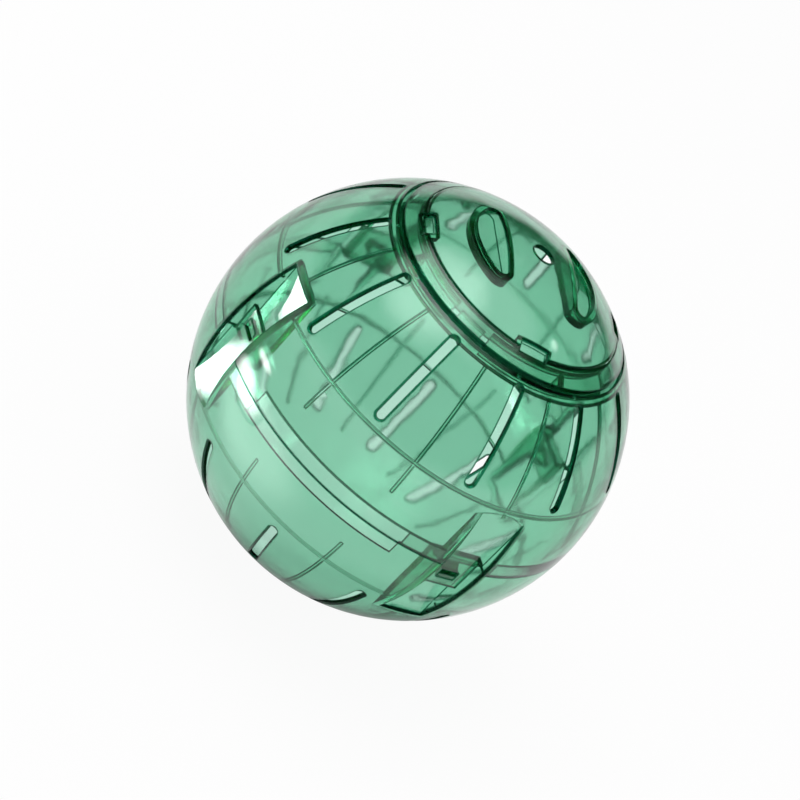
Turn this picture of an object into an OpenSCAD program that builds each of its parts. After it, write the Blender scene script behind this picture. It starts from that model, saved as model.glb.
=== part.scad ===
// Hamster ball. Two half shells clip together on the equator, and a twist lid closes the top.
// Frame: millimetres, Z up along the lid axis, origin at the centre of the ball.
// Angles round the ball start at the front (-Y) and grow to the left, towards -X.
// Angles down the ball are measured from the top pole.

/* [Ball] */
// outer diameter of the closed ball
ball_d = 178; // [150:1:220]
// wall thickness of the shells
wall = 1.8; // [1.4:0.1:2.4]
// extra wall thickness at the seam, reached little by little
seam_extra = 0.6; // [0.5:0.1:1.2]
// angle from the pole at which the wall has its plain thickness
plain_angle = 55; // [45:1:65]
// gap between the parts that clip together and stay put
fit_gap = 0.15; // [0.1:0.05:0.3]
// gap between the parts that move on one another
run_gap = 0.3; // [0.25:0.05:0.45]
// gap round the lid skirt and past the lugs
skirt_gap = 0.45; // [0.35:0.05:0.8]

/* [Ribs and air slots] */
// number of ribs, and of air slots, round each half
rib_count = 12; // [8:4:16]
// width of a meridian rib on the inside of the wall
rib_w = 1.1; // [0.8:0.1:1.8]
// height of a meridian rib over the inside of the wall
rib_h = 0.8; // [0.4:0.1:1.4]
// angle from the pole at which the ribs end, round the plain cap of the closed half
rib_end_angle = 38; // [30:0.5:38]
// angle from the pole at which the ribs end towards the seam
rib_seam_angle = 80; // [77:0.5:83]
// width of an air slot under its sloped outer edge
slot_w = 3.8; // [3:0.1:5]
// how much narrower an air slot is at its inner end, on each side
slot_taper = 0.4; // [0.1:0.05:0.6]
// width of the slope that breaks the outer edge of an air slot
slot_edge = 0.6; // [0.3:0.1:1]
// angle from the pole at which an air slot starts
slot_top_angle = 40.4; // [40:0.2:46]
// angle from the pole at which an air slot ends
slot_end_angle = 67.8; // [60:0.2:69]
// angle from the pole of the foot hoop
hoop_angle = 71; // [70.5:0.5:74]
// width of the foot hoop
hoop_w = 0.9; // [0.7:0.1:1.6]
// height of the foot hoop over the inside of the wall
hoop_h = 1.7; // [0.8:0.1:2.4]

/* [Seam lips] */
// length of the lip past the seam
lip_l = 6; // [4:0.5:9]
// lip thickness as a share of the seam band thickness
lip_share = 0.5; // [0.4:0.05:0.6]
// angle round the ball from the front to the start of the lip
lip_start = 25.2; // [20:0.2:30]

/* [Clips] */
// angle round the ball from the front to the nearest clip
clip_angle = 45; // [42:1:48]
// width of the flat pocket round a clip
pocket_w = 20.5; // [17:0.5:24]
// depth of the flat pocket that carries the tongue, under the ball's surface
tongue_depth = 4.85; // [4.6:0.05:5.4]
// depth of the flat pocket that carries the catch, under the ball's surface
catch_depth = 10; // [9.2:0.1:11]
// length of the flat pocket that carries the catch, past the seam
catch_pocket_l = 37.2; // [33:0.2:38.4]
// gap beside the tongue in its pocket
tongue_side_gap = 1.6; // [0.8:0.1:2.6]
// length of the tongue past the seam
tongue_l = 14.4; // [12:0.2:18]
// width of the window in the tongue
window_w = 8.6; // [6:0.2:11]
// height of the window in the tongue
window_h = 4.4; // [3.4:0.2:5]
// height of the window centre over the seam
window_z = 8.4; // [7:0.2:9]

/* [Lid seat] */
// angle from the pole of the edge of the recess round the lid
seat_angle = 38.1; // [37.8:0.1:38.6]
// angle from the pole of the outer edge of the lid rim
rim_angle = 36.9; // [36:0.1:37.2]
// angle from the pole of the line between lid rim and lid
lid_angle = 31.5; // [30.5:0.1:32]
// thickness of the seat ring
seat_t = 1.8; // [1.4:0.1:2.4]
// number of lugs on the lid, and of notches for them
lug_count = 4; // [3:1:4]
// angle round the axis that one notch takes
notch_arc = 20; // [18:1:24]
// angle round the axis that one lug takes
lug_arc = 14; // [10:1:15]
// reach of a lug out of the lid skirt
lug_l = 4.5; // [3.5:0.5:5]
// thickness of a lug
lug_t = 1.6; // [1.2:0.1:2]
// angle that the lid turns from free to locked
lock_turn = 30; // [24:1:34]
// width of the stiffening rail under the seat ring
rail_w = 1.2; // [0.9:0.1:1.6]
// height of the stiffening rail under the seat ring
rail_h = 2.4; // [1.6:0.1:3.2]

/* [Lid] */
// wall thickness of the lid
lid_wall = 1.8; // [1.4:0.1:2.2]
// thickness of the skirt under the lid edge
skirt_t = 1.5; // [1.2:0.1:2]
// diameter of the hole in the middle of the lid
hole_d = 9.5; // [7:0.5:12]
// angle round the ball from the front to the first finger recess
recess_angle = 57; // [50:0.5:62]
// distance of the outer edge of a finger recess from the axis
recess_out_r = 28.4; // [27:0.2:31]
// distance of the straight inner edge of a finger recess from the axis
recess_in_x = 16.4; // [14:0.2:17.4]
// radius of the two corners of a finger recess
recess_corner = 2.6; // [2:0.2:3.6]
// depth of the flat floor of a finger recess, under the top of the ball
recess_depth = 8; // [6.5:0.1:9]
// wall thickness of a finger recess
recess_wall = 2.1; // [1.6:0.1:2.6]
// angle round the ball from the front to the first edge pocket
edge_pocket_angle = 58.5; // [54:0.5:62]
// width of an edge pocket
edge_pocket_w = 12.4; // [9:0.2:15]
// length of an edge pocket towards the pole
edge_pocket_l = 4.8; // [3.6:0.2:6]
// length of an edge pocket that lies in the lid rim
edge_pocket_over = 1.4; // [0.8:0.1:2]
// depth of an edge pocket
edge_pocket_depth = 2.2; // [1.9:0.1:2.8]
// wall thickness round an edge pocket
edge_pocket_wall = 1.5; // [1.2:0.1:2]

/* [Hidden] */
$fn = 96;
half_turn = 180;
quarter_turn = 90;
ball_r = ball_d / 2;
// reach of every cutting tool, past the outside of the ball
reach = ball_d;
shell_in_r = ball_r - wall;
// the hollow is a sphere whose centre lies a little above the seam, so the wall grows towards it
band_in_r = ball_r - wall - seam_extra;
hollow_up = seam_extra / cos(plain_angle);
rib_seam_z = ball_r * cos(rib_seam_angle);
lip_r = band_in_r + (wall + seam_extra) * lip_share;
hoop_z = ball_r * cos(hoop_angle);
step = 360 / rib_count;
rib_end_r = ball_r * sin(rib_end_angle);
slot_end_arc = asin(slot_w / ball_d);
// how much wider the round ends of a slot are on each side
slot_end_extra = 0.03;
tongue_x = ball_r - tongue_depth;
catch_x = ball_r - catch_depth;
tongue_w = pocket_w - 2 * tongue_side_gap;
seat_r = ball_r * sin(seat_angle);
rim_r = ball_r * sin(rim_angle);
lid_r = ball_r * sin(lid_angle);
seat_top_r = ball_r - lid_wall - run_gap;
seat_low_r = seat_top_r - seat_t;
lug_top_r = seat_low_r - run_gap;
lug_low_r = lug_top_r - lug_t;
skirt_r = lid_r - run_gap / 2;
rim_in_r = lid_r + run_gap / 2;
mouth_r = skirt_r + skirt_gap;
lug_r = skirt_r + lug_l;
notch_r = lug_r + skirt_gap;
skirt_z = sqrt(lug_low_r * lug_low_r - skirt_r * skirt_r);
seat_z = sqrt(seat_low_r * seat_low_r - seat_r * seat_r);
lug_step = 360 / lug_count;
seat_mid_r = (seat_top_r + seat_low_r) / 2;
rail_in_r = notch_r + run_gap;
// angle round the axis that a stop takes, and the play before it
stop_arc = 3;
stop_play = 0.6;
recess_floor_z = ball_r - recess_depth;
recess_corner_x = recess_in_x + recess_corner;
recess_corner_r = recess_out_r - recess_corner;
recess_corner_y = sqrt(recess_corner_r * recess_corner_r - recess_corner_x * recess_corner_x);
recess_turn = atan2(recess_corner_y, recess_corner_x);
arc_steps = 24;
edge_pocket_out = lid_r + edge_pocket_over;
edge_pocket_in = edge_pocket_out - edge_pocket_l;

// turns +X to the given angle round the ball
module at(angle) { rotate([0, 0, -quarter_turn - angle]) children(); }

// everything with z above the given height
module above(z) { translate([-reach, -reach, z]) cube([2 * reach, 2 * reach, reach]); }

// a sector about Z, centred on +X, from radius r0 to r1 and from z0 to z1
module sector(arc, r0, r1, z0, z1) {
    rotate([0, 0, -arc / 2]) rotate_extrude(angle = arc)
        translate([r0, z0]) square([r1 - r0, z1 - z0]);
}

// the space outside a flat pocket floor at distance x from the axis, up to the height top
module pocket(x, w, top = reach) { translate([x, -w / 2, -reach]) cube([reach, w, reach + top]); }

// both pockets of one kind: catch pockets on the left, tongue pockets on the right
module pockets(inner) {
    grow = inner ? wall : 0;
    for (a = [clip_angle, half_turn - clip_angle]) {
        at(a) pocket(catch_x - grow, pocket_w + 2 * grow, catch_pocket_l + grow);
        at(-a) pocket(tongue_x - grow, pocket_w + 2 * grow);
    }
}

// half the section of an air slot with the half width side:
// distance from its middle, and radius from the centre of the ball
function slot_section(side) = let(
    deep_r = seat_low_r - lug_l, in_r = band_in_r - run_gap,
    edge_r = ball_r - slot_edge, over = slot_edge + run_gap
) [
    [0, deep_r], [side - slot_taper, deep_r], [side - slot_taper, in_r], [side, edge_r],
    [side + over, edge_r + over], [side + over, reach], [0, reach]
];

// one air slot along the meridian over +X, with tapered sides, a sloped outer edge and round ends.
// The ends are a hair wider than the rest, so that their surfaces cross and don't just touch
module slot() {
    section = slot_section(slot_w / 2);
    rotate([quarter_turn, 0, 0]) rotate([0, 0, quarter_turn - slot_end_angle + slot_end_arc])
        rotate_extrude(angle = slot_end_angle - slot_top_angle - 2 * slot_end_arc)
            polygon([for (p = section) [p[1], p[0]], for (i = [len(section) - 2:-1:1])
                [section[i][1], -section[i][0]]]);
    for (a = [slot_top_angle + slot_end_arc, slot_end_angle - slot_end_arc])
        rotate([0, a, 0]) rotate_extrude() polygon(slot_section(slot_w / 2 + slot_end_extra));
}

// the ribs and the foot hoop, before they are cut by the hollow
module ribs() {
    difference() {
        for (i = [0:rib_count - 1]) at((i + 0.5) * step)
            translate([0, -rib_w / 2, rib_seam_z]) cube([reach, rib_w, reach]);
        sphere(r = shell_in_r - rib_h);
        cylinder(r = rib_end_r, h = reach);
    }
    difference() {
        translate([0, 0, hoop_z - hoop_w / 2]) cylinder(r = reach, h = hoop_w);
        sphere(r = shell_in_r - hoop_h);
    }
}

// the hollow of a half: ribs and pocket walls left standing
module hollow(open_top) {
    difference() {
        translate([0, 0, hollow_up]) sphere(r = band_in_r);
        ribs();
        pockets(true);
        if (open_top) difference() {
            translate([0, 0, seat_z]) cylinder(r = seat_r + wall, h = reach);
            sphere(r = seat_low_r);
        }
    }
}

// the spherical layer of the lip, from a little outside the hollow to the middle of the wall
module lip_layer(outer_r) { difference() { sphere(r = outer_r); sphere(r = band_in_r + fit_gap); } }

// an upper half. The lower half is the same moulding turned over, with a closed top
module half(open_top) {
    lip_arc = half_turn - 2 * lip_start;
    side = pocket_w + 2 * wall + 4 * fit_gap;
    difference() {
        intersection() { sphere(r = ball_r); above(0); }
        pockets(false);
        hollow(open_top);
        for (i = [0:rib_count - 1]) at(i * step) slot();
        // rebate for the other half's lip, everywhere but along this half's own lip
        difference() {
            translate([0, 0, -lip_l]) cylinder(r = lip_r, h = 2 * lip_l + 2 * fit_gap);
            at(quarter_turn) sector(lip_arc, 0, reach, -reach, reach);
            for (a = [clip_angle, half_turn - clip_angle]) at(-a) pocket(0, side);
        }
        if (open_top) {
            // recess for the lid rim
            difference() {
                translate([0, 0, seat_z]) cylinder(r = seat_r, h = reach);
                sphere(r = seat_top_r);
            }
            cylinder(r = mouth_r, h = reach);
            for (i = [0:lug_count - 1]) at(i * lug_step) sector(notch_arc, 0, notch_r, 0, reach);
        }
    }
    // the lip, left out where the pockets stand
    intersection() {
        lip_layer(lip_r - fit_gap);
        difference() {
            at(quarter_turn) sector(lip_arc - 1, ball_r / 2, reach, -lip_l, seam_extra);
            for (a = [clip_angle, half_turn - clip_angle]) at(a) pocket(0, side);
        }
    }
    // tongues, down past the seam
    for (a = [clip_angle, half_turn - clip_angle]) at(-a) tongue();
    // catch pocket ledges and catches
    for (a = [clip_angle, half_turn - clip_angle]) at(a) catch();
}

module tongue() {
    difference() {
        translate([tongue_x - wall, -tongue_w / 2, -tongue_l]) cube([wall, tongue_w, tongue_l + wall]);
        translate([0, -window_w / 2, -window_z - window_h / 2]) cube([reach, window_w, window_h]);
    }
}

module catch() {
    ledge_x = tongue_x - wall - run_gap;
    under_z = window_z - window_h / 2 + run_gap;
    translate([catch_x - wall, -pocket_w / 2 - wall / 2, 0])
        cube([ledge_x - catch_x + wall, pocket_w + wall, wall]);
    bump_w = window_w - 2 * run_gap;
    translate([0, bump_w / 2, 0]) rotate([quarter_turn, 0, 0]) linear_extrude(bump_w) polygon([
        [catch_x - wall / 2, window_z - window_h], [catch_x, window_z - window_h],
        [ledge_x, under_z], [tongue_x, window_z], [tongue_x, window_z + window_h / 2 - run_gap],
        [catch_x - wall / 2, window_z + window_h / 2 - run_gap]]);
}

// height of the middle of the seat ring at radius r
function seat_mid_z(r) = sqrt(seat_mid_r * seat_mid_r - r * r);

// stiffening rails between the notches, and stops for the lugs, under the seat ring
module rails() {
    rail_z = seat_mid_z(rail_in_r + rail_w) - seat_t / 2 - rail_h;
    stop_out_r = rail_in_r + rail_w / 2;
    for (i = [0:lug_count - 1]) {
        at((i + 0.5) * lug_step)
            sector(
                lug_step - notch_arc, rail_in_r, rail_in_r + rail_w, rail_z,
                seat_mid_z(rail_in_r + rail_w)
            );
        at(i * lug_step + lock_turn + (lug_arc + stop_arc) / 2 + stop_play)
            rotate([0, 0, -stop_arc / 2]) rotate_extrude(angle = stop_arc) polygon([
                [mouth_r + run_gap, seat_mid_z(mouth_r + run_gap)], [mouth_r + run_gap, rail_z],
                [stop_out_r, rail_z], [stop_out_r, seat_mid_z(stop_out_r)]]);
    }
}

module upper_shell() {
    color([0.25, 0.66, 0.5, 0.45]) { half(true); rails(); }
}

module lower_shell() {
    color([0.25, 0.66, 0.5, 0.45]) rotate([0, half_turn, 0]) half(false);
}

// the plan of every edge pocket as a block, from the distance x0 to x1 from the axis
module edge_pockets(x0, x1, grow) {
    for (i = [0:lug_count - 1]) at(edge_pocket_angle + i * lug_step)
        translate([x0 - grow, -edge_pocket_w / 2 - grow, 0])
            cube([x1 - x0 + grow, edge_pocket_w + 2 * grow, reach]);
}

// the flat outer edge of the lid, which lies in the recess
module lid_rim() {
    color([0.2, 0.6, 0.45, 0.45]) difference() {
        intersection() {
            sphere(r = ball_r);
            cylinder(r = rim_r, h = reach);
        }
        sphere(r = ball_r - lid_wall);
        cylinder(r = rim_in_r, h = reach);
        edge_pockets(edge_pocket_in, edge_pocket_out, 0);
    }
}

// points of an arc of the radius r about the point c, from the angle a0 to a1
function arc_points(c, r, a0, a1) =
    [for (i = [0:arc_steps]) let(a = a0 + (a1 - a0) * i / arc_steps) c + r * [cos(a), sin(a)]];

// plan of a finger recess as a prism: round outer edge, straight inner edge, round corners
module recess(grow, z) {
    low = [recess_corner_x, -recess_corner_y];
    high = [recess_corner_x, recess_corner_y];
    corner = recess_corner + grow;
    at(recess_angle) translate([0, 0, z]) linear_extrude(height = reach) polygon(concat(
        arc_points(low, corner, -half_turn, -recess_turn),
        arc_points([0, 0], recess_out_r + grow, -recess_turn, recess_turn),
        arc_points(high, corner, recess_turn, half_turn)
    ));
}

module lid() {
    color([0.22, 0.64, 0.48, 0.45]) {
        difference() {
            union() {
                // dome
                difference() {
                    intersection() { sphere(r = ball_r); cylinder(r = skirt_r, h = reach); }
                    sphere(r = ball_r - lid_wall);
                }
                // skirt
                difference() {
                    intersection() {
                        sphere(r = ball_r - lid_wall / 2);
                        translate([0, 0, skirt_z]) cylinder(r = skirt_r, h = reach);
                    }
                    cylinder(r = skirt_r - skirt_t, h = reach);
                }
                // lugs
                intersection() {
                    difference() { sphere(r = lug_top_r); sphere(r = lug_low_r); }
                    for (i = [0:lug_count - 1]) at(i * lug_step)
                        sector(lug_arc, skirt_r - skirt_t / 2, lug_r, 0, reach);
                }
                // floors and walls of the edge pockets
                difference() {
                    intersection() {
                        sphere(r = ball_r - lid_wall / 2);
                        cylinder(r = skirt_r, h = reach);
                        edge_pockets(edge_pocket_in, edge_pocket_out, edge_pocket_wall);
                    }
                    sphere(r = ball_r - edge_pocket_depth - edge_pocket_wall);
                }
                // finger recess cups
                for (s = [0, half_turn]) rotate([0, 0, s]) intersection() {
                    sphere(r = ball_r - lid_wall / 2);
                    recess(recess_wall, recess_floor_z - recess_wall);
                }
            }
            for (s = [0, half_turn]) rotate([0, 0, s]) recess(0, recess_floor_z);
            difference() {
                edge_pockets(edge_pocket_in, edge_pocket_out, 0);
                sphere(r = ball_r - edge_pocket_depth);
            }
            cylinder(r = hole_d / 2, h = reach);
        }
    }
}

upper_shell();
lower_shell();
lid_rim();
lid();
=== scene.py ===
# %% [markdown]
# # A clear green exercise ball
# The real ball is three thin mouldings in clear plastic: two half shells that clip together at the
# equator, and a lid that twists into the top. Every shape comes from the CAD frame, so this lesson is
# about clear plastic: how its surface shines, how its thickness drinks light, how the dark lines of its
# moulded edges come partly from bent light and partly from painted shade, and what has to stand around
# it before it looks like plastic at all.

import math

import bpy
import numpy as np
from mathutils import Matrix, Vector


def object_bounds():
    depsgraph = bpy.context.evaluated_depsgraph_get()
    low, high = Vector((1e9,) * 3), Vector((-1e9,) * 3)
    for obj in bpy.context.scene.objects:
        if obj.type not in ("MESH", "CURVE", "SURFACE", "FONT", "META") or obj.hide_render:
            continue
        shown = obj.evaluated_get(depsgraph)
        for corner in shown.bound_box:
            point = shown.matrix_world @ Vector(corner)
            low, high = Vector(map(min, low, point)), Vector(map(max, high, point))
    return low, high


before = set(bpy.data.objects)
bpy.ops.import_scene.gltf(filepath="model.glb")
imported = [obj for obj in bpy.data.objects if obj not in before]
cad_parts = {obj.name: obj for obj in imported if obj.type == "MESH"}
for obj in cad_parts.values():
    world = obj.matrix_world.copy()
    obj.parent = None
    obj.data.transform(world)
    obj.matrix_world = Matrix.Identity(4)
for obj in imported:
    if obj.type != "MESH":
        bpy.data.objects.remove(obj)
cad_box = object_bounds()
ball_radius = cad_box[1][0]
print("CAD nodes:", sorted(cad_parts))
print("ball radius:", round(ball_radius, 5), "m")

# %% [markdown]
# ## The camera
# A photograph of a ball says nearly everything about its camera. The outline gives the ball's place and
# size in the picture, a circle round the lid looks squashed by an amount that gives the tilt of the axis,
# and the near side looks bigger than the far side by an amount that gives the distance. The lens could be
# guessed instead, but then the ribs of the far wall would not show between the near ones as they do in
# the picture.

# %% What the photograph gives
picture_pixels = 800
outline_pixels = 221.8
centre_pixels = (407.93, 399.23)
camera_azimuth = math.radians(2.35)
camera_elevation = math.radians(30.56)
camera_roll = math.radians(43.22)
camera_distance = 10.978 * ball_radius
print("camera", round(camera_distance, 3), "m from the middle of the ball")

# %% [markdown]
# The camera's lens follows from the outline: seen from a distance, a ball's edge is where the line of
# sight just touches it. The shift moves the ball off the middle of the picture without turning the
# camera.

# %% Fit the lens to the outline
camera_data = bpy.data.cameras.new("camera")
camera_data.sensor_width = 36.0
focal_pixels = outline_pixels * math.sqrt((camera_distance / ball_radius) ** 2 - 1)
camera_data.lens = camera_data.sensor_width * focal_pixels / picture_pixels
camera_data.shift_x = (picture_pixels / 2 - centre_pixels[0]) / picture_pixels
camera_data.shift_y = (centre_pixels[1] - picture_pixels / 2) / picture_pixels
camera_data.dof.use_dof = False
print("lens", round(camera_data.lens, 1), "mm")

# %% [markdown]
# A camera looks along its own -Z, with +Y up and +X to the right. So three directions and a place make
# its matrix: backwards points from the ball to the camera, and the other two are turned by the roll,
# because the ball's axis leans to the right in the picture.

# %% Point the camera
backwards = Vector((
    math.sin(camera_azimuth) * math.cos(camera_elevation),
    -math.cos(camera_azimuth) * math.cos(camera_elevation),
    math.sin(camera_elevation),
))
level_right = Vector((0, 0, 1)).cross(backwards).normalized()
level_up = backwards.cross(level_right)
picture_up = math.cos(camera_roll) * level_up - math.sin(camera_roll) * level_right
picture_right = picture_up.cross(backwards)

camera = bpy.data.objects.new("camera", camera_data)
bpy.context.scene.collection.objects.link(camera)
turned = Matrix((picture_right, picture_up, backwards)).transposed()
camera.matrix_world = Matrix.Translation(backwards * camera_distance) @ turned.to_4x4()
bpy.context.scene.camera = camera
print("camera at", [round(x, 3) for x in camera.matrix_world.translation])

# %% [markdown]
# ## Materials as small sums
# A material is a graph of nodes, little boxes that each do one sum and hand the result on. The boxes
# could be wired one line at a time. This helper takes either a plain value or another node's output for
# each socket instead, so that a finish is written about as shortly as it is said.

# %% Helpers for nodes
def new_material(name):
    material = bpy.data.materials.new(name)
    material.use_nodes = True
    material.node_tree.nodes.clear()
    return material, material.node_tree


def add_node(tree, kind, inputs=None, **settings):
    """One node: an input that is another node's output is wired, and a plain value is set on the socket."""
    node = tree.nodes.new(kind)
    for name, setting in settings.items():
        setattr(node, name, setting)
    for name, value in (inputs or {}).items():
        if isinstance(value, bpy.types.NodeSocket):
            tree.links.new(value, node.inputs[name])
        else:
            node.inputs[name].default_value = value
    return node


print("helpers: new_material, add_node")

# %% [markdown]
# Most of the sums are of three kinds: plain arithmetic, a fade from one value to another, and a test of
# how nearly two directions lie along one line. The last one is 1 where they do, and 0 where they are
# square to each other.

# %% Helpers for sums
def work_out(tree, operation, *values):
    return add_node(tree, "ShaderNodeMath", dict(enumerate(values)), operation=operation).outputs["Value"]


def fade(tree, value, start, end, low=0.0, high=1.0, ease="LINEAR"):
    """low up to start, high beyond end, and a ramp between the two."""
    inputs = {"Value": value, "From Min": start, "From Max": end, "To Min": low, "To Max": high}
    return add_node(tree, "ShaderNodeMapRange", inputs, interpolation_type=ease).outputs["Result"]


def along_one_line(tree, direction, other):
    """The size of the dot product of two directions of length 1."""
    dot = add_node(tree, "ShaderNodeVectorMath", {0: direction, 1: other}, operation="DOT_PRODUCT")
    return work_out(tree, "ABSOLUTE", dot.outputs["Value"])


print("helpers: work_out, fade, along_one_line")

# %% [markdown]
# Two more helpers mix: one mixes two colours, the other two whole finishes. A share of 0 gives the first
# alone, and a share of 1 the second. The Mix node could be wired in place each time, but it has a set of
# sockets for each kind of value, so that its colours go in at 6 and 7 and come out at 2.

# %% Helpers for mixing
pure_white = (1, 1, 1, 1)


def mix_colours(tree, share, first, second):
    mix = add_node(tree, "ShaderNodeMix", {0: share, 6: first, 7: second}, data_type="RGBA")
    return mix.outputs[2]


def mix_shaders(tree, share, first, second):
    return add_node(tree, "ShaderNodeMixShader", {0: share, 1: first, 2: second}).outputs["Shader"]


print("helpers: mix_colours, mix_shaders")

# %% [markdown]
# ## Where an edge is
# A moulded edge is never sharp: the steel that shapes it is rounded by a few tenths of a millimetre. On
# clear plastic a rounded edge bends light away so strongly that it draws a dark line, and these lines are
# most of what the eye reads as form. The edges could be rounded in the mesh, but the CAD meshes stay as
# they are. The Bevel node looks at the faces nearby and gives the normal that a rounded edge would have.
# Where that normal differs from the face's own, there is an edge. There the surface shines as if
# rounded, and the dark line is also painted shade: a dark green drawn into its colour.

# %% Find the edges
edge_radius = 0.0005
edge_reach = 0.0008
on_a_face, on_an_edge = 0.999, 0.985


def edge_lines(tree):
    """1 along an edge and 0 on an open face."""
    rounded = add_node(tree, "ShaderNodeBevel", {"Radius": edge_reach}, samples=8)
    face = add_node(tree, "ShaderNodeNewGeometry")
    straightness = along_one_line(tree, rounded.outputs["Normal"], face.outputs["Normal"])
    return fade(tree, straightness, on_a_face, on_an_edge, ease="SMOOTHSTEP")


print("edges shine as if rounded by", 1000 * edge_radius, "mm and darken over", 1000 * edge_reach, "mm")

# %% [markdown]
# ## Faces that stand across the wall
# The sides of the air slots, the finger recesses and the clips stand across the shell. Light that comes
# out of such a face has mostly run along inside the wall for a long way, so it is deep green. The
# renderer follows such light too, but gives a soft grey line where the photograph has a crisp one. So
# these faces get painted shade: a dark green drawn into their colour. They could be marked face by face.
# On a ball they are simple to find: the normal of a face across the wall is square to the line from the
# middle of the ball, and the outer skin is what lies far enough from the middle.

# %% Find the faces across the wall
skin_starts = ball_radius - 0.0018
skin_is_full = ball_radius - 0.0013
along_the_wall, across_the_wall = 0.88, 0.74


def faces_across(tree, where):
    """1 on a face that stands across the wall and 0 on the wall itself."""
    outwards = add_node(tree, "ShaderNodeVectorMath", {0: where.outputs["Object"]}, operation="NORMALIZE")
    lies_flat = along_one_line(tree, outwards.outputs["Vector"], where.outputs["Normal"])
    return fade(tree, lies_flat, along_the_wall, across_the_wall, ease="SMOOTHSTEP")


def outer_skin(tree, where):
    """1 in the outer skin of the wall and 0 on everything that lies deeper."""
    distance = add_node(tree, "ShaderNodeVectorMath", {0: where.outputs["Object"]}, operation="LENGTH")
    return fade(tree, distance.outputs["Value"], skin_starts, skin_is_full)


print("the outer skin starts", round(1000 * skin_starts, 1), "mm from the middle")

# %% [markdown]
# ## The tread hoop
# Inside each half a low hoop runs all the way round, as a tread. In the photograph it is a thin line,
# fainter than the ribs, so its edges must be softer. The same painted shade as on the ribs' edges would
# draw it as two heavy lines. So the painted edge shade is held back near the hoop's height, on the
# inside only.

# %% Find the hoop
hoop_latitude = math.radians(19.0)
hoop_height = ball_radius * math.sin(hoop_latitude)
hoop_edge = 0.0007
hoop_ends = 0.0012
# The share of the edges' painted shade that stays on the hoops.
hoop_keeps = 0.15


def off_the_hoop(tree, where):
    """1 away from both hoops and hoop_keeps on them."""
    place = add_node(tree, "ShaderNodeSeparateXYZ", {0: where.outputs["Object"]})
    height = work_out(tree, "ABSOLUTE", place.outputs["Z"])
    from_hoop = work_out(tree, "ABSOLUTE", work_out(tree, "SUBTRACT", height, hoop_height))
    return fade(tree, from_hoop, hoop_edge, hoop_ends, low=hoop_keeps)


print("hoops", round(1000 * hoop_height, 2), "mm above and below the middle")

# %% [markdown]
# ## The moulded surface
# Moulded plastic is nearly flat but not quite. A slow swell, far too low to feel, makes the reflections
# of the lamps wander, as they do in the photograph. It could be a displacement of the mesh, which costs
# triangles. A Bump node on a soft noise only turns the normal, and it starts from the rounded normal, so
# that edges shine too. The same swell makes the far wall look wavy through the near one.

# %% The swell of the surface
swells_per_metre = 45.0
swell_height = 0.002
swell_strength = 0.2


def moulded_surface(tree, where):
    rounded = add_node(tree, "ShaderNodeBevel", {"Radius": edge_radius}, samples=4)
    swell = add_node(
        tree, "ShaderNodeTexNoise",
        {"Vector": where.outputs["Object"], "Scale": swells_per_metre, "Detail": 2.0, "Roughness": 0.4},
    )
    bump = add_node(
        tree, "ShaderNodeBump",
        {
            "Strength": swell_strength, "Distance": swell_height,
            "Height": swell.outputs["Fac"], "Normal": rounded.outputs["Normal"],
        },
    )
    return bump.outputs["Normal"]


print("the noise swells about every", round(1000 / swells_per_metre), "mm")

# %% [markdown]
# ## Clear green plastic
# The colour of clear plastic comes from inside: on its way through the wall light loses most of its red,
# then some blue. A tinted surface alone would colour the 2 mm wall and a 20 mm look along it alike. So a
# Volume Absorption node fills the closed wall. The thin walls of the real ball are a stronger green than
# that gives without turning the thick places black, so about half of a thin wall's colour is a tint that
# each passing of the surface adds, which is what Base Color does on a fully transmitting shader. On the
# edges and the faces across the wall, Base Color holds painted shade instead: a dark green.

# %% Name the greens
skin_tint = (0.735, 0.865, 0.80, 1)
# The next colour is painted shade: dark green drawn into edges and faces across the wall.
painted_edge_shade = (0.001, 0.07, 0.03, 1)
dye_colour = (0.10, 0.78, 0.53, 1)
dye_density = 250.0
# The next colour is painted shade on the shine: it turns the reflections of edges and faces dark green.
painted_shine_shade = (0.05, 0.90, 0.50, 1)
lamp_shade = (0.62, 0.86, 0.76, 1)


def share_left(colour, millimetres):
    """What the dye leaves of the light: e to the power of -(1 - colour) times density times length."""
    return [round(math.exp((c - 1) * dye_density * millimetres / 1000), 2) for c in colour[:3]]


print("red, green and blue left after 2 mm:", share_left(dye_colour, 2))
print("and after 20 mm:", share_left(dye_colour, 20))

# %% [markdown]
# The shine of an edge and of a face across the wall is also given a dark green, as painted shade on its
# reflections. Lamps would need caustics to shine through the plastic, which take very long to settle. So a
# ray that only asks whether a lamp is blocked passes a pale green Transparent shader instead, and the
# ball's shadow comes out pale and green.

# %% Mix the plastic
refractive_index = 1.57
gloss_roughness = 0.065


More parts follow.
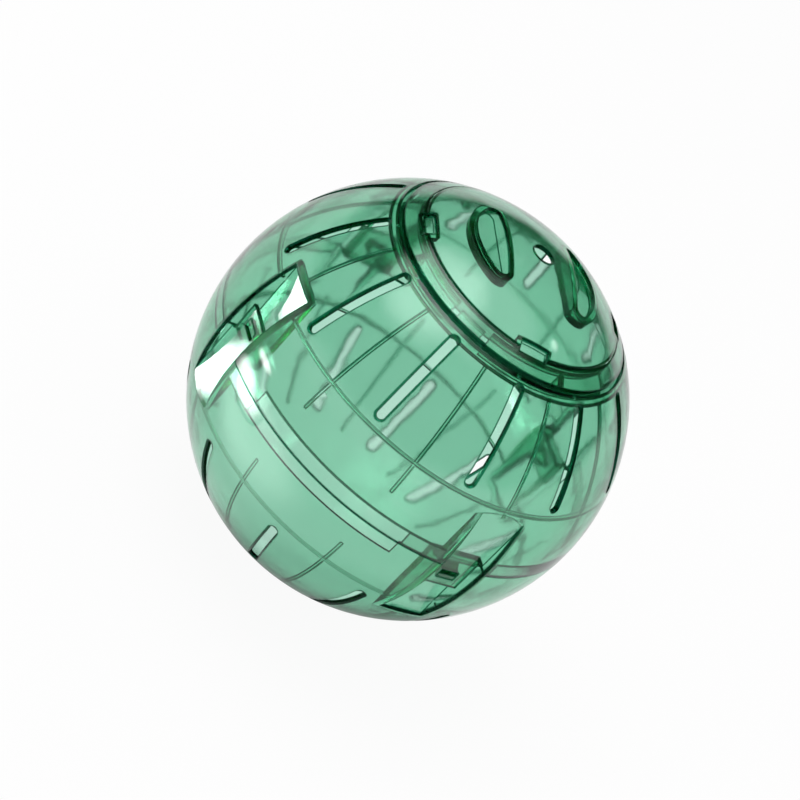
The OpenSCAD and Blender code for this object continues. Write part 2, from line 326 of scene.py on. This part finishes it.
def clear_plastic(name):
    """Clear plastic with a green dye, and painted shade on its edges and on faces across the wall."""
    material, tree = new_material(name)
    where = add_node(tree, "ShaderNodeTexCoord")
    across = faces_across(tree, where)
    skin = outer_skin(tree, where)
    kept = work_out(tree, "MAXIMUM", off_the_hoop(tree, where), skin)
    edges = work_out(tree, "MULTIPLY", edge_lines(tree), kept)
    # Painted shade: the share of dark green drawn into the colour of edges and faces across the wall.
    painted_shade_share = work_out(tree, "MAXIMUM", edges, work_out(tree, "MULTIPLY", across, skin))
    # Painted shade on the shine: the share by which reflections of edges and faces across turn dark green.
    painted_shine_share = work_out(tree, "MAXIMUM", edges, across)
    plastic = add_node(
        tree, "ShaderNodeBsdfPrincipled",
        {
            "Roughness": gloss_roughness, "IOR": refractive_index, "Transmission Weight": 1.0,
            "Base Color": mix_colours(tree, painted_shade_share, skin_tint, painted_edge_shade),
            "Specular Tint": mix_colours(tree, painted_shine_share, pure_white, painted_shine_shade),
            "Normal": moulded_surface(tree, where),
        },
    )
    lamp_pass = add_node(tree, "ShaderNodeBsdfTransparent", {"Color": lamp_shade})
    rays = add_node(tree, "ShaderNodeLightPath")
    surface = mix_shaders(
        tree, rays.outputs["Is Shadow Ray"], plastic.outputs["BSDF"], lamp_pass.outputs["BSDF"],
    )
    dye = add_node(tree, "ShaderNodeVolumeAbsorption", {"Color": dye_colour, "Density": dye_density})
    add_node(tree, "ShaderNodeOutputMaterial", {"Surface": surface, "Volume": dye.outputs["Volume"]})
    return material


clear_green = clear_plastic("clear_green_plastic")
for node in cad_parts.values():
    node.data.materials.clear()
    node.data.materials.append(clear_green)
print(clear_green.name, "on", len(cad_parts), "pieces")

# %% [markdown]
# ## The floor
# The ball lies on white paper that runs on out of sight. A plane would do, but a disc around the ball
# ends equally far away on all sides. It lies a hair below the ball, so that the two never share a face.

# %% Lay the floor
floor_radius = 3.0
floor_gap = 0.0003


def disc(radius, height, rings=24, spokes=96):
    """A flat round floor: points at radius r and angle a lie at (r cos a, r sin a, height)."""
    r = np.linspace(0, radius, rings + 1)[1:]
    a = np.linspace(0, 2 * np.pi, spokes, endpoint=False)
    grid = np.stack([np.outer(r, np.cos(a)), np.outer(r, np.sin(a)), np.full((rings, spokes), height)], -1)
    points = np.vstack([[(0, 0, height)], grid.reshape(-1, 3)])
    i, j = np.meshgrid(np.arange(rings - 1), np.arange(spokes), indexing="ij")
    n = (j + 1) % spokes
    quads = np.stack([i * spokes + j, (i + 1) * spokes + j, (i + 1) * spokes + n, i * spokes + n], -1)
    fan = np.stack([np.zeros(spokes, int), 1 + np.arange(spokes), 1 + (np.arange(spokes) + 1) % spokes], -1)
    mesh = bpy.data.meshes.new("floor")
    mesh.from_pydata(points.tolist(), [], (quads.reshape(-1, 4) + 1).tolist() + fan.tolist())
    return mesh


floor = bpy.data.objects.new("floor", disc(floor_radius, -ball_radius - floor_gap))
bpy.context.scene.collection.objects.link(floor)
print("floor of", len(floor.data.polygons), "faces at", round(-ball_radius - floor_gap, 4), "m")

# %% [markdown]
# A white floor could be had by more light, but that would wash out the ball too. Instead the paper is
# plain and matt where light falls on it, so that it takes the ball's shadow, and glows at 1, which is
# white, where the camera looks at it, straight or through the plastic. In the plastic's own reflections
# it is a little less bright, so that these stay weaker than the lamps, and darker where the ball keeps
# the light from it. Glossy Depth counts how often a ray was mirrored, so a fade between 0 and 1 parts
# what is seen straight from what is mirrored.

# %% The paper on it
paper_colour = (0.9, 0.9, 0.9, 1)
paper_glow_share = 0.94
paper_in_reflections = 0.85
paper_in_the_shade = 0.3
shade_middle = (0.040, -0.035, -ball_radius - floor_gap)
shade_rim = (0.050, 0.085)
from_straight_to_mirrored = (0.4, 0.6)

paper, tree = new_material("floor_paper")
rays = add_node(tree, "ShaderNodeLightPath")
looked_at = work_out(tree, "MAXIMUM", rays.outputs["Is Camera Ray"], rays.outputs["Is Glossy Ray"])
looked_at = work_out(tree, "MAXIMUM", looked_at, rays.outputs["Is Transmission Ray"])
where = add_node(tree, "ShaderNodeTexCoord")
from_shade = add_node(
    tree, "ShaderNodeVectorMath", {0: where.outputs["Object"], 1: shade_middle}, operation="DISTANCE",
)
# Painted shadow: in reflections the paper's glow is dimmer in a disc beside the ball's foot.
mirrored_paper = fade(
    tree, from_shade.outputs["Value"], *shade_rim, paper_in_the_shade, paper_in_reflections,
)
brightness = fade(
    tree, rays.outputs["Glossy Depth"], *from_straight_to_mirrored, 1.0, mirrored_paper,
)
matt = add_node(tree, "ShaderNodeBsdfDiffuse", {"Color": paper_colour})
glow = add_node(tree, "ShaderNodeEmission", {"Color": pure_white, "Strength": brightness})
glow_share = work_out(tree, "MULTIPLY", looked_at, paper_glow_share)
surface = mix_shaders(tree, glow_share, matt.outputs["BSDF"], glow.outputs["Emission"])
add_node(tree, "ShaderNodeOutputMaterial", {"Surface": surface})
floor.data.materials.append(paper)
print("the paper glows by", paper_glow_share, "and takes light by", round(1 - paper_glow_share, 2))

# %% [markdown]
# ## The room
# Clear plastic has nothing to show but its surroundings. In a room that is white all round, a clear ball
# nearly vanishes, so a photographer puts dark walls beside it: they are what the curved faces bend into
# view, and they give them their dark shapes. The room is a sum on the direction that a ray leaves in:
# white low down where the lit floor is, dark walls, and a white ceiling. It could be built from panels,
# but a world costs no geometry.

# %% Paint the walls
world = bpy.data.worlds.new("photo_room")
world.use_nodes = True
bpy.context.scene.world = world
tree = world.node_tree
tree.nodes.clear()
direction = add_node(tree, "ShaderNodeTexCoord")
upwards = add_node(tree, "ShaderNodeSeparateXYZ", {0: direction.outputs["Generated"]})
walls = add_node(tree, "ShaderNodeValToRGB", {"Fac": upwards.outputs["Z"]})
floor_end, wall_foot, wall_top, ceiling = 0.10, 0.22, 0.88, 0.95
wall_grey = 0.02
for stop in walls.color_ramp.elements:
    stop.color = pure_white
for height, grey in ((floor_end, 1.0), (wall_foot, wall_grey), (wall_top, wall_grey), (ceiling, 1.0)):
    walls.color_ramp.elements.new(height).color = (grey, grey, grey, 1)
print("walls from", wall_foot, "to", wall_top, "of the way up")

# %% [markdown]
# The room is needed in five strengths. The camera sees pure white behind the ball. Reflections see the
# dark walls. What comes straight through the plastic sees them as a pale grey, as the photograph shows
# the far parts of the ball bright, and what was first thrown about inside the wall sees something
# between. All other light, which brightens matt things, comes from an even white room. One room for all
# could do only one of these, so the kind of ray chooses the room.

# %% Choose the room by the kind of ray
palest_wall = 0.45
thrown_about_share = 0.45
room_strength = 0.6


def room(tree, colour, strength):
    background = add_node(tree, "ShaderNodeBackground", {"Color": colour, "Strength": strength})
    return background.outputs["Background"]


rays = add_node(tree, "ShaderNodeLightPath")
straight = fade(tree, rays.outputs["Glossy Depth"], *from_straight_to_mirrored, 1.0, thrown_about_share)
passing = work_out(tree, "MULTIPLY", straight, rays.outputs["Is Transmission Ray"])
in_the_plastic = work_out(
    tree, "MAXIMUM", rays.outputs["Is Glossy Ray"], rays.outputs["Is Transmission Ray"],
)
pale_walls = fade(tree, walls.outputs["Color"], 0.0, 1.0, palest_wall, 1.0)

studio = mix_shaders(
    tree, passing, room(tree, walls.outputs["Color"], 1.0), room(tree, pure_white, pale_walls),
)
around = mix_shaders(tree, in_the_plastic, room(tree, pure_white, room_strength), studio)
seen = mix_shaders(tree, rays.outputs["Is Camera Ray"], around, room(tree, pure_white, 1.0))
add_node(tree, "ShaderNodeOutputWorld", {"Surface": seen})
print("the room has", len(tree.nodes), "nodes")

# %% [markdown]
# ## Soft lamps
# The photograph has two kinds of highlight: a pale glow on the lid and a few pure white shapes in the
# faces of the left clip. Both are lamps, seen in the plastic as in a mirror. A plain area lamp has a hard
# edge, which would show as a cut-out shape. The cloth of a real softbox is bright in the middle and dim
# at the rim, so the lamp's own shader fades with the distance from its middle.

# %% A lamp with a soft rim
cloth_middle = (0.5, 0.5, 0.0)
cloth_rim, cloth_full = 0.5, 0.22


def soft_lamp(name, where, towards, length, width, watts, turn=0.0):
    """An oval lamp at where that shines towards a direction: full in the middle, nothing at the rim."""
    lamp = bpy.data.lights.new(name, "AREA")
    lamp.shape = "ELLIPSE"
    lamp.size, lamp.size_y, lamp.energy = length, width, watts
    lamp.use_nodes = True
    tree = lamp.node_tree
    tree.nodes.clear()
    cloth = add_node(tree, "ShaderNodeNewGeometry")
    from_middle = add_node(
        tree, "ShaderNodeVectorMath",
        {0: cloth.outputs["Parametric"], 1: cloth_middle}, operation="DISTANCE",
    )
    strength = fade(tree, from_middle.outputs["Value"], cloth_rim, cloth_full, ease="SMOOTHSTEP")
    glow = add_node(tree, "ShaderNodeEmission", {"Strength": strength})
    add_node(tree, "ShaderNodeOutputLight", {"Surface": glow.outputs["Emission"]})
    holder = bpy.data.objects.new(name, lamp)
    bpy.context.scene.collection.objects.link(holder)
    holder.location = where
    aim = (-Vector(towards)).to_track_quat("Z", "Y").to_matrix()
    aim = aim @ Matrix.Rotation(math.radians(turn), 3, "Z")
    holder.rotation_mode = "QUATERNION"
    holder.rotation_quaternion = aim.to_quaternion()
    holder.visible_camera = False
    return holder


print("helper: soft_lamp")

# %% [markdown]
# One large softbox hangs above the ball and lights the scene. A small one beside it is the pale glow on
# the lid: its place was worked out by mirroring the camera's line of sight in the lid where the glow is.

# %% Hang the softboxes
def softbox(name, direction, distance, length, width, watts):
    """A softbox in a direction from the ball and at a distance, turned to face it."""
    out = Vector(direction).normalized()
    return soft_lamp(name, out * distance, -out, length, width, watts)


softboxes = [
    softbox("overhead_softbox", (-0.40, -0.12, 0.91), 1.25, 1.6, 1.3, 14.0),
    softbox("small_lamp", (0.437, 0.346, 0.83), 1.0, 0.12, 0.12, 0.16),
]
print("softboxes:", [lamp.name for lamp in softboxes])

# %% [markdown]
# The white shapes in the left clip mirror bright patches of the paper beside the ball, where the
# photographer's lamps fell on it. They could be painted on the floor, but then the camera would see them
# on the white as well. So they are lamps that lie on the paper, shine up and are hidden from the camera.
# Each lies where the camera's line of sight ends after a facet of the clip has mirrored it.

# %% Lay the bright patches
patch_height = 0.0005 - ball_radius


def lit_patch(name, x, y, length, width, watts, turn):
    """A bright patch of the paper beside the ball, a hair above the floor."""
    return soft_lamp(name, (x, y, patch_height), (0, 0, 1), length, width, watts, turn)


patches = [
    lit_patch("near_patch", -0.171, -0.044, 0.080, 0.036, 0.09, -12.0),
    lit_patch("far_patch", -0.252, -0.030, 0.080, 0.036, 0.09, -12.0),
    lit_patch("front_patch", -0.18, -0.135, 0.15, 0.08, 0.40, 10.0),
    lit_patch("front_far_patch", -0.31, -0.205, 0.11, 0.07, 0.28, 30.0),
    lit_patch("pale_patch", -0.12, -0.145, 0.28, 0.17, 0.24, 0.0),
]
print("patches:", [lamp.name for lamp in patches])

# %% [markdown]
# ## How often light may bounce
# Through two walls with ribs, slots and clips a ray passes many surfaces, and where its bounces run out
# it turns black. So the limits are higher than usual. Caustics stay off: they would only add noise. The
# picture is shown in plain sRGB, so that a white of 1 is white.

# %% Set the bounces and the colours
scene = bpy.context.scene
scene.view_settings.view_transform = "Standard"
scene.cycles.max_bounces = 32
scene.cycles.transmission_bounces = 32
scene.cycles.glossy_bounces = 12
scene.cycles.transparent_max_bounces = 32
scene.cycles.caustics_reflective = False
scene.cycles.caustics_refractive = False
print("bounces:", scene.cycles.max_bounces)
